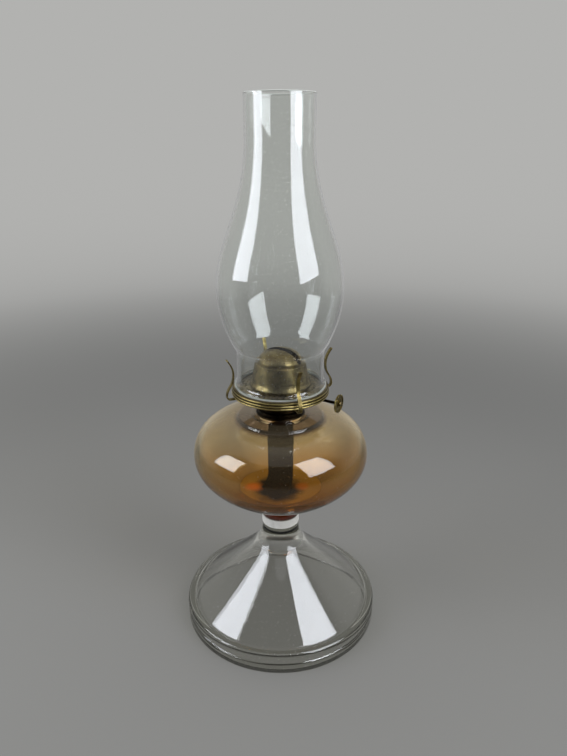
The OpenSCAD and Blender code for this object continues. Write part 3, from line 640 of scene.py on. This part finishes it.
def chimney_outside():
    gain = CHIMNEY_BULGE_R - CHIMNEY_NECK_R
    fall = TUBE_START - BULGE_H
    return ([(CHIMNEY_BASE_R - 0.5, 0.0), (CHIMNEY_BASE_R, GROUND_H), (CHIMNEY_BASE_R, 2.2)]
            + curve((CHIMNEY_BASE_R - 0.3, 2.7), (CHIMNEY_BASE_R - 1.4, 3.7), (CHIMNEY_NECK_R, 4.2),
                    (CHIMNEY_NECK_R, 7.0), 12)
            + curve((CHIMNEY_NECK_R, CRIMP_H - 2), (CHIMNEY_NECK_R + 0.1, CRIMP_H),
                    (CHIMNEY_NECK_R + 0.4, CRIMP_H), (CHIMNEY_NECK_R + 1, CRIMP_H + 2), 8)
            + curve((CHIMNEY_NECK_R + 1.6, CRIMP_H + 2.9), (CHIMNEY_NECK_R + gain * 0.36, CRIMP_H + 9),
                    (CHIMNEY_BULGE_R, BULGE_H - (BULGE_H - CRIMP_H) * 0.45), (CHIMNEY_BULGE_R, BULGE_H), 32)
            + curve((CHIMNEY_BULGE_R, BULGE_H), (CHIMNEY_BULGE_R, BULGE_H + fall * 0.343),
                    (CHIMNEY_TOP_R + 2.8, BULGE_H + fall * 0.524), (CHIMNEY_TOP_R, TUBE_START), 44)[1:]
            + [(CHIMNEY_TOP_R, CHIMNEY_H - 0.8)])


def glass_profile():
    inside = font_inside(0.0)
    return (foot_hollow() + foot_outside() + [(STEM_R, STEM_TOP - 0.4), (STEM_R + 0.4, STEM_TOP)]
            + font_bowl() + font_top()
            + [(NECK_BORE, SHOULDER_Z - FONT_WALL + 2.5), (NECK_BORE + 1.2, SHOULDER_Z - FONT_WALL + 0.6),
               (NECK_BORE + 3, SHOULDER_Z - FONT_WALL)]
            + inside[::-1] + [(0.0, inside[0][1])])


# The film lies on the cavity's wall; in the thick glass at the bottom it comes nearer to the outside
def film_line(depth):
    low, rest = moved(font_bowl(), FILM_FOOT - depth), font_inside(-depth)
    line = []
    for i, (a, b) in enumerate(zip(low, rest)):
        share = min(1.0, i / 14)
        line.append((a[0] + (b[0] - a[0]) * share, a[1] + (b[1] - a[1]) * share))
    plug = [(0.0, PLUG_Z - depth), (PLUG_R - 1 + depth, PLUG_Z - depth),
            (PLUG_R + depth, PLUG_Z + 1 - depth)]
    return plug + line + [(NECK_BORE + 3.5, SHOULDER_Z - FONT_WALL + depth)]


def film_profile():
    return film_line(0.24) + film_line(0.12)[::-1]


def dregs_profile():
    wall = [p for p in font_inside(-0.05) if p[1] < OIL_LEVEL]
    return [(0.0, wall[0][1])] + wall + [(wall[-1][0] - 1.2, OIL_LEVEL - 0.5), (0.0, OIL_LEVEL - 0.7)]


def chimney_profile():
    line = [(r, z + CHIMNEY_Z) for r, z in chimney_outside()]
    inside = moved(line, CHIMNEY_WALL)
    top = CHIMNEY_Z + CHIMNEY_H
    lip = arc((CHIMNEY_TOP_R - CHIMNEY_WALL / 2, top - CHIMNEY_WALL / 2), CHIMNEY_WALL / 2, 0, 180, 8)
    base = [(inside[0][0], CHIMNEY_Z), line[0]]
    return line + lip + inside[:0:-1] + base


# Materials
pressed_glass = glass_material("pressed flint glass", tint="#ffffff", shade="#fdfdfb", ior=1.57,
                               ripple_mm=22, ripple=0.08, roughness=0.03, depth="#bcbca0")
blown_glass = glass_material("blown soda glass", tint="#f8faf8", shade="#f1f1ed", ior=1.5,
                             ripple_mm=30, ripple=0.07, roughness=0.025, dust=1.0)
ground_edge_and_lip_highlight = ground_edge_and_lip_highlight_material()
oil_film = film_material()
dregs_liquid = dregs_material()
aged_brass = brass_material("aged sheet brass", bright="#94845a", patina="#62573c", spots="#2e2618",
                            cover=0.68, smooth=0.34, rough=0.50, inward_dark="#0e0b08")
rubbed_brass = brass_material("rubbed brass", bright="#8c7d4c", patina="#544a2e", spots="#231b0f",
                              cover=0.68, smooth=0.32, rough=0.48)
# The rim's crests get a painted highlight and its grooves painted shade in the dark spots' colour
ringed_brass = brass_material("brass rim with painted ring light", bright="#94845a", patina="#62573c", spots="#231b0f",
                              cover=0.68, smooth=0.32, rough=0.48, crest_highlight="#b9a86c")
# Blackened brass: dark patina, made darker still as painted shade
dark_brass = brass_material("blackened brass", bright="#2e2518", patina="#15100a", spots="#0a0705",
                            cover=0.62, smooth=0.38, rough=0.55)
plaster = plaster_material()
cotton = wick_material()
paper = paper_material()
glue = glue_material()

FINISHES = {
    "aged_brass": aged_brass,
    "dark_brass": dark_brass,
    "plaster": plaster,
}
for subpart in frame["record"]["subparts"]:
    finish = FINISHES.get(subpart["material_slot"])
    if finish:
        holder = frame["nodes"][subpart["node"]].data
        holder.materials.clear()
        holder.materials.append(finish)
for name in ("gallery", "prong_1", "prong_2", "prong_3", "prong_4", "thumb_wheel"):
    frame["nodes"][name].data.materials[0] = ringed_brass if name == "gallery" else rubbed_brass

# Glass of the foot and font, in one piece as it is on the lamp
glass_body = turned("glass_body", glass_profile(), pressed_glass, 180)
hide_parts("glass_foot", "glass_font")
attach(glass_body, "base")

film = turned("oil_film", film_profile(), oil_film, 144)
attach(film, "base")

dregs = turned("oil_dregs", dregs_profile(), dregs_liquid, 96)
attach(dregs, "base")

chimney = turned("chimney_shell", chimney_profile(), blown_glass, 160)
# The ground foot and the lip take the white edge; on the lip it is a painted highlight
chimney.data.materials.append(ground_edge_and_lip_highlight)
for face in chimney.data.polygons:
    if not (CHIMNEY_Z + GROUND_H) * MM < face.center.z < (CHIMNEY_Z + CHIMNEY_H - LIP_H) * MM:
        face.material_index = 1
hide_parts("chimney")
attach(chimney, "chimney_glass")


# Wick: a thick woven tape with rounded edges and a crowned top, its tail bent to the front in the dregs
def wick_strip():
    straight = WICK_TOP - WICK_BEND_Z
    bend = WICK_BEND * math.pi / 2
    crown_r = ((WICK_W / 2) ** 2 + WICK_CROWN ** 2) / (2 * WICK_CROWN)
    columns, rows = 72, 220
    turn = Matrix.Rotation(WICK_AZ, 4, "Z")
    half_w, half_t = WICK_W / 2 - WICK_RELIEF, WICK_T / 2 - WICK_RELIEF
    shape = bmesh.new()
    across = shape.verts.layers.float.new("across")
    along = shape.verts.layers.float.new("along")
    rings = []
    for i in range(rows + 1):
        ring = []
        for j in range(columns):
            loop = j / columns
            x = half_w * (4 * loop - 1 if loop < 0.5 else 3 - 4 * loop)
            edge = min(1.0, (half_w - abs(x)) / half_t)
            depth = half_t * math.sqrt(1 - (1 - edge) ** 2) * (1 if loop < 0.5 else -1)
            drop = crown_r - math.sqrt(crown_r ** 2 - x * x)
            far = (straight + bend - drop - WICK_RELIEF) * i / rows
            if far < bend:
                a = math.pi / 2 * far / bend
                centre = (-WICK_BEND + WICK_BEND * math.sin(a), WICK_BEND_Z - WICK_BEND * math.cos(a))
                normal = (math.sin(a), -math.cos(a))
            else:
                centre = (0.0, WICK_BEND_Z + far - bend)
                normal = (1.0, 0.0)
            point = Vector((x, centre[0] + normal[0] * depth, centre[1] + normal[1] * depth))
            vert = shape.verts.new(turn @ (point * MM))
            vert[across] = x
            vert[along] = far
            ring.append(vert)
        rings.append(ring)
    for low, high in zip(rings, rings[1:]):
        for j in range(columns):
            k = (j + 1) % columns
            shape.faces.new((low[j], low[k], high[k], high[j]))
    for ring in (rings[0], rings[-1]):
        for j in range(columns // 2):
            a, b = ring[j], ring[j + 1]
            c, d = ring[(columns - j - 1) % columns], ring[(columns - j) % columns]
            corners = [a, b, c, d]
            corners = [v for n, v in enumerate(corners) if v not in corners[:n]]
            if len(corners) > 2:
                shape.faces.new(corners)
    bmesh.ops.remove_doubles(shape, verts=shape.verts, dist=1e-7)
    bmesh.ops.recalc_face_normals(shape, faces=shape.faces)
    start = bpy.data.meshes.new("wick_tape")
    shape.to_mesh(start)
    shape.free()
    return grown("wick_tape", start, WEAVING, {"Rib": WICK_RIB, "Pick": WICK_PICK,
                                               "Relief": WICK_RELIEF * MM, "Finish": cotton})


wick = wick_strip()
dress(wick, 70)
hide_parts("wick")
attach(wick, "wick_strip")


# Bare paper band round the stem, its end lapped over its start
def paper_band():
    start, lap = math.radians(-139), math.radians(385)
    inner, rise = STEM_R + 0.15, 0.3
    steps = 120
    shape = bmesh.new()
    rings = []
    for i in range(steps + 1):
        a = start + lap * i / steps
        r = inner + rise * i / steps
        sag = 0.35 * math.sin(a)
        ring = []
        outer = r + BAND_PAPER
        for radius, z in ((r, BAND_LOW), (outer, BAND_LOW), (outer, BAND_HIGH), (r, BAND_HIGH)):
            point = Vector((radius * math.cos(a), radius * math.sin(a), z + sag))
            ring.append(shape.verts.new(point * MM))
        rings.append(ring)
    for one, two in zip(rings, rings[1:]):
        for j in range(4):
            k = (j + 1) % 4
            shape.faces.new((one[j], two[j], two[k], one[k]))
    shape.faces.new(rings[0])
    shape.faces.new(rings[-1][::-1])
    bmesh.ops.recalc_face_normals(shape, faces=shape.faces)
    mesh = bpy.data.meshes.new("paper_band")
    shape.to_mesh(mesh)
    shape.free()
    band = bpy.data.objects.new("paper_band", mesh)
    scene.collection.objects.link(band)
    band.data.materials.append(paper)
    band.data.materials.append(glue)
    for face in band.data.polygons:
        outward = Vector((face.center.x, face.center.y, 0.0)).normalized()
        face.material_index = 1 if face.normal.dot(outward) < -0.5 else 0
    band.data.shade_smooth()
    band.data.set_sharp_from_angle(angle=math.radians(40))
    return band


band = paper_band()
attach(band, "base")


# Pale floor that runs up into a backdrop. The wall has one pale tone, also through glass; mirrored, its
# front is darker, as a room is behind the camera
def studio_material():
    material, tree, out = new_material("pale studio paper")
    place = node(tree, "ShaderNodeTexCoord").outputs["Object"]
    axes = node(tree, "ShaderNodeSeparateXYZ", {0: place}).outputs
    flat = node(tree, "ShaderNodeVectorMath", {0: place, 1: (1.0, 1.0, 0.0)}, operation="MULTIPLY")
    reach = node(tree, "ShaderNodeVectorMath", {0: flat.outputs[0]}, operation="LENGTH").outputs["Value"]
    far = node(tree, "ShaderNodeMapRange", {"Value": reach, "From Min": 0.5, "From Max": 1.8},
               interpolation_type="SMOOTHSTEP").outputs[0]
    back = node(tree, "ShaderNodeMapRange", {"Value": axes["Y"], "From Min": -0.6, "From Max": 0.2},
                interpolation_type="SMOOTHSTEP").outputs[0]
    path = node(tree, "ShaderNodeLightPath")
    straight = node(tree, "ShaderNodeMath", {0: path.outputs["Glossy Depth"], 1: 0.5}, operation="LESS_THAN")
    shown = node(tree, "ShaderNodeMath", {0: back, 1: straight.outputs[0]}, operation="MAXIMUM")
    tone = node(tree, "ShaderNodeMix", {0: shown.outputs[0], 6: colour("#444443"), 7: colour("#b2b2b0")},
                data_type="RGBA")
    floor = node(tree, "ShaderNodeBsdfDiffuse", {"Color": colour("#8e8e8c")})
    first = node(tree, "ShaderNodeMath", {0: path.outputs["Diffuse Depth"], 1: 0.5}, operation="LESS_THAN")
    wall = node(tree, "ShaderNodeEmission", {"Color": tone.outputs[2], "Strength": first.outputs[0]})
    mix = node(tree, "ShaderNodeMixShader", {0: far, 1: floor.outputs[0], 2: wall.outputs[0]})
    tree.links.new(mix.outputs[0], out.inputs["Surface"])
    material.cycles.emission_sampling = "NONE"
    return material


studio_profile = ([(0.0, 0.0), (250.0, 0.0), (600.0, 0.0), (1200.0, 0.0)]
                  + arc((1300.0, 500.0), 500.0, -90, 0, 16) + [(1800.0, 2600.0)])
studio = turned("studio", studio_profile, studio_material(), 96)
studio.visible_diffuse = False
studio.visible_shadow = False


# The windows stand this far from the lamp, in metres, and shine this strongly in mirrors
WINDOW_R = 0.9
PANE_GLOW = 7.2


# What glass and metal mirror: cards that shine only when mirrored, before light has bounced off the floor,
# and are clear otherwise
def pane(name, corners):
    turns = [(math.radians(azimuth), z) for azimuth, z in corners]
    mesh = bpy.data.meshes.new(name)
    points = [(WINDOW_R * math.sin(a), -WINDOW_R * math.cos(a), z) for a, z in turns]
    mesh.from_pydata(points, [], [(0, 1, 2, 3)])
    material, tree, out = new_material(name + " light")
    path = node(tree, "ShaderNodeLightPath")
    first = node(tree, "ShaderNodeMath", {0: path.outputs["Diffuse Depth"], 1: 0.5}, operation="LESS_THAN")
    mirrored = node(tree, "ShaderNodeMath", {0: path.outputs["Glossy Depth"], 1: 0.5},
                    operation="GREATER_THAN")
    seen = node(tree, "ShaderNodeMath", {0: first.outputs[0], 1: mirrored.outputs[0]}, operation="MULTIPLY")
    clear = node(tree, "ShaderNodeBsdfTransparent")
    glow = node(tree, "ShaderNodeEmission", {"Color": colour("#f2f6ff"), "Strength": PANE_GLOW})
    mix = node(tree, "ShaderNodeMixShader", {0: seen.outputs[0], 1: clear.outputs[0], 2: glow.outputs[0]})
    tree.links.new(mix.outputs[0], out.inputs["Surface"])
    material.cycles.emission_sampling = "NONE"
    mesh.materials.append(material)
    card = bpy.data.objects.new(name, mesh)
    scene.collection.objects.link(card)
    card.visible_camera = False
    card.visible_diffuse = False
    card.visible_shadow = False


# A tall window: a lamp that lights the object, and the pane that it shows in the glass
def window(name, azimuth, middle, width, height, power, corners):
    pane(name + "_pane", corners)
    a = math.radians(azimuth)
    away = Vector((math.sin(a), -math.cos(a), 0.0))
    lamp = bpy.data.lights.new(name, "AREA")
    lamp.shape = "RECTANGLE"
    lamp.size = width
    lamp.size_y = height
    lamp.energy = power
    lamp_object = bpy.data.objects.new(name, lamp)
    lamp_object.location = away * WINDOW_R + Vector((0.0, 0.0, middle))
    lamp_object.rotation_euler = away.to_track_quat("Z", "Y").to_euler()
    lamp_object.visible_glossy = False
    lamp_object.visible_camera = False
    lamp_object.visible_transmission = False
    scene.collection.objects.link(lamp_object)


# The panes' corners are an azimuth from the front in degrees and a height in metres
window("window_left", azimuth=-75, middle=0.64, width=0.60, height=0.66, power=6.5,
       corners=[(-90, 0.31), (-58, 0.36), (-56, 1.08), (-90, 0.92)])
window("window_right", azimuth=53, middle=0.96, width=0.58, height=1.24, power=11.0,
       corners=[(35, 0.36), (72, 0.42), (76, 1.48), (26, 1.55)])

world = bpy.data.worlds.new("soft room light")
world.use_nodes = True
world.node_tree.nodes.clear()
sky = node(world.node_tree, "ShaderNodeBackground", {"Color": colour("#f4f5f7"), "Strength": 0.42})
node(world.node_tree, "ShaderNodeOutputWorld", {"Surface": sky.outputs[0]})
scene.world = world

# Camera at the photograph's place: its focal length in pixels of the frame's height, and its tilt
FOCAL_PX = 628
FRAME_PX = 756
TILT_DOWN = 21.4
camera = bpy.data.cameras.new("camera")
camera.sensor_width = 36.0
camera.lens = camera.sensor_width * FOCAL_PX / FRAME_PX
camera.clip_start = 0.01
camera_object = bpy.data.objects.new("camera", camera)
camera_object.location = (0.0026, -0.485, 0.421)
camera_object.rotation_euler = (math.radians(90 - TILT_DOWN), 0.0, 0.0)
scene.collection.objects.link(camera_object)
scene.camera = camera_object
scene.view_settings.view_transform = "Standard"
